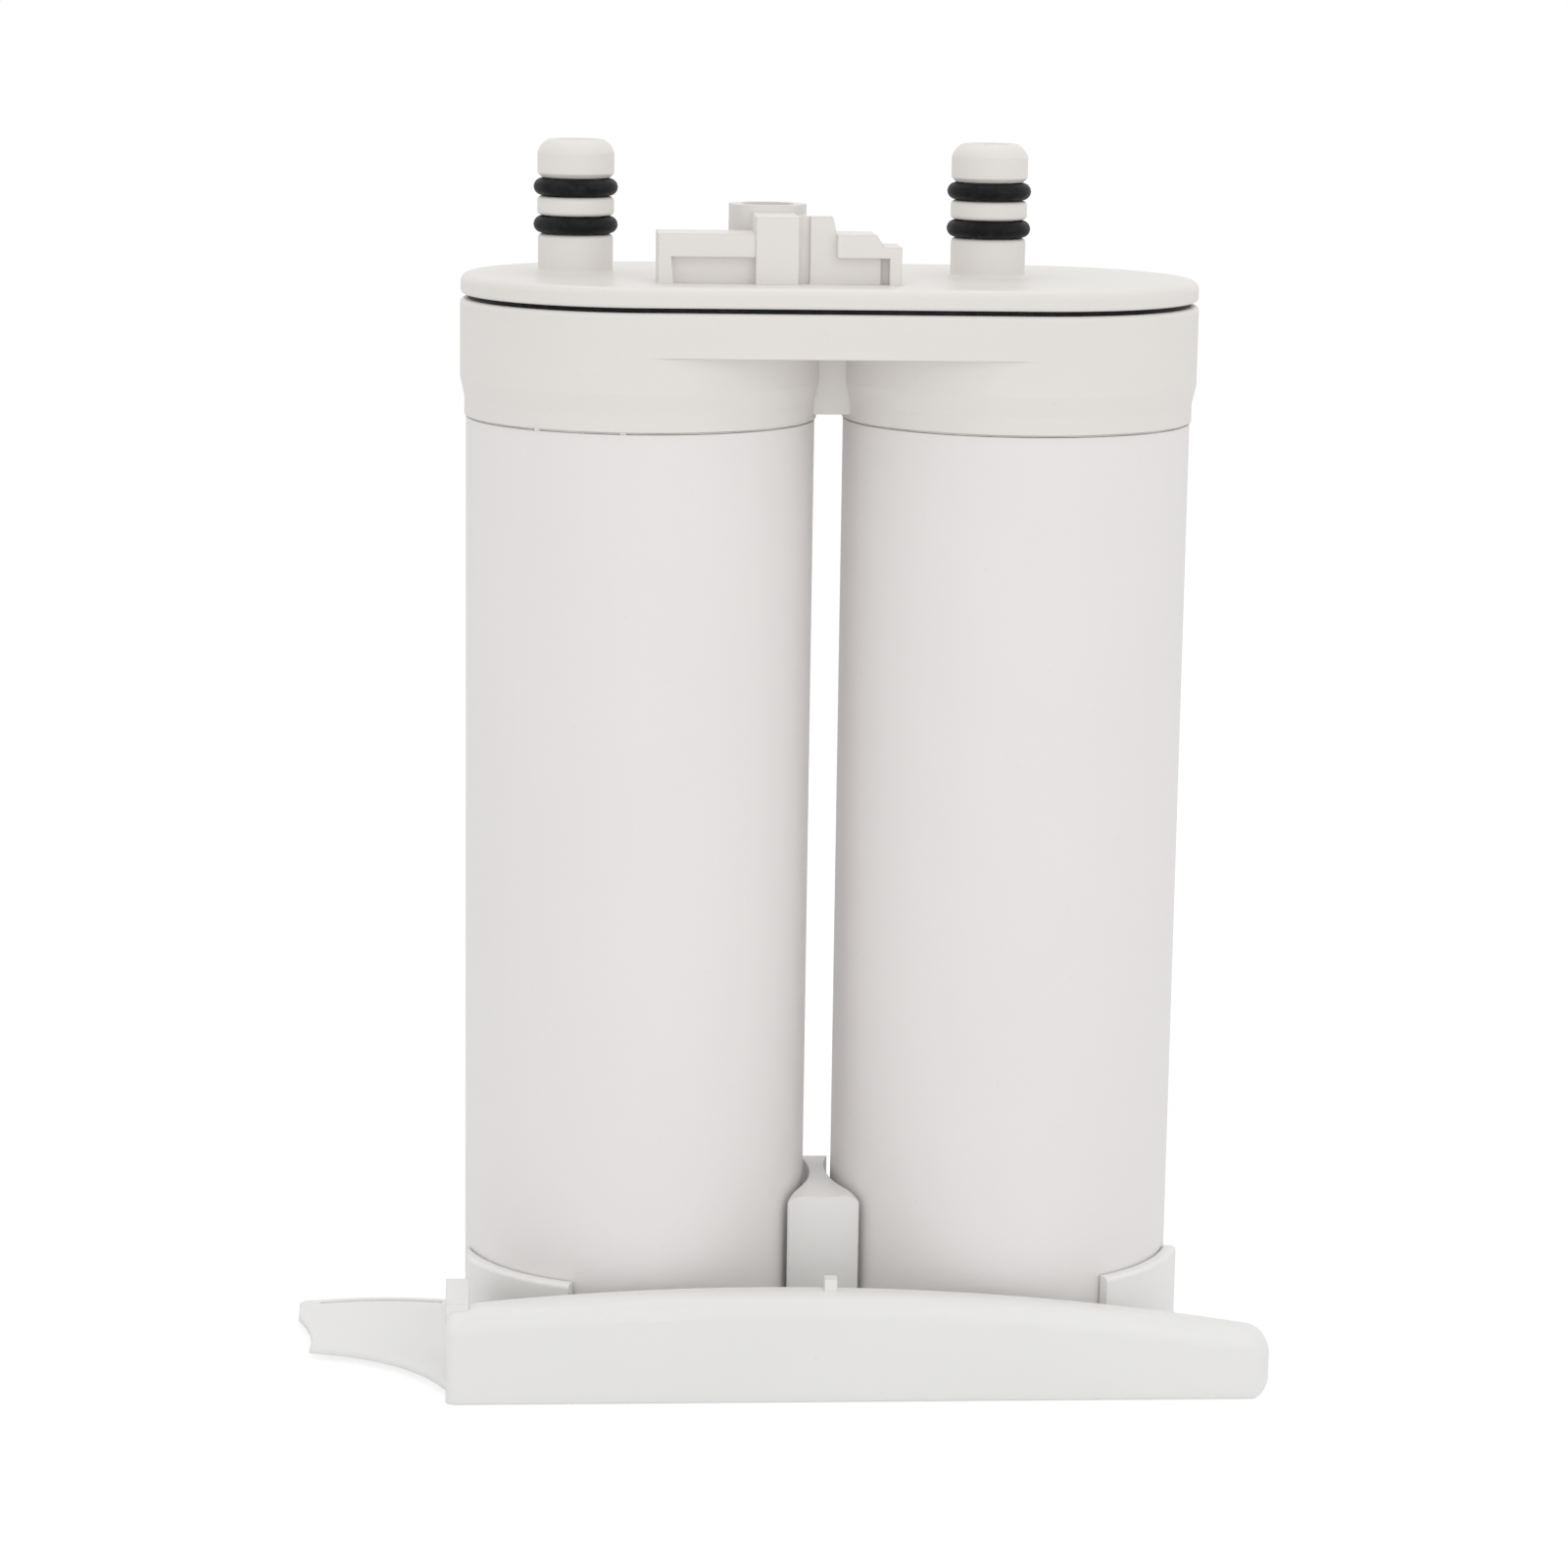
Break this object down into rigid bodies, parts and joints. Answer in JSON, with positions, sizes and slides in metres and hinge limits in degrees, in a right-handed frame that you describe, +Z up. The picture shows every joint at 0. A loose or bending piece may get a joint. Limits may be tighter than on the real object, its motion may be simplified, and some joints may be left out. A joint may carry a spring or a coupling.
{
  "type": "twin canister water filter cartridge",
  "caption": "Plug-in water filter cartridge: parallel canisters under a bridging head with O-ring spigots and key bracket, standing in a cradle with a winged face cover.",
  "frame": {"origin": "middle of the cover's flat underside, midway between the canister axes and below them", "axes": "+Z up along the canisters, +X from the inlet canister to the outlet canister, -Y the front"},
  "size_m": [0.1852, 0.0784, 0.2327],
  "materials": {
    "cover_plastic": "satin moulded white",
    "cradle_plastic": "satin moulded off-white",
    "head_plastic": "satin moulded warm white",
    "canister_plastic": "satin moulded white",
    "seal_rubber": "greased black",
    "carbon_block": "sintered porous",
    "prefilter_felt": "nonwoven felt",
    "core_plastic": "natural",
    "cap_plastic": "natural"
  },
  "bodies": {
    "carrier": {"face_cover": "cover_plastic", "cradle_frame": "cradle_plastic"},
    "cartridge": {"port_plate": "head_plastic", "head_gasket": "seal_rubber", "manifold_head": "head_plastic", "left_shell": "canister_plastic", "right_shell": "canister_plastic", "inlet_upper_ring": "seal_rubber", "inlet_lower_ring": "seal_rubber", "outlet_upper_ring": "seal_rubber", "outlet_lower_ring": "seal_rubber", "left_carbon_block": "carbon_block", "left_prefilter_wrap": "prefilter_felt", "left_core_tube": "core_plastic", "left_lower_cap": "cap_plastic", "left_upper_cap": "cap_plastic", "left_neck_ring": "seal_rubber", "right_carbon_block": "carbon_block", "right_prefilter_wrap": "prefilter_felt", "right_core_tube": "core_plastic", "right_lower_cap": "cap_plastic", "right_upper_cap": "cap_plastic", "right_neck_ring": "seal_rubber"}
  },
  "joints": [
    {"name": "cartridge_lift", "type": "slide", "parent": "carrier", "child": "cartridge", "axis": [0, 0, 1], "range_m": [0, 0.04]}
  ]
}
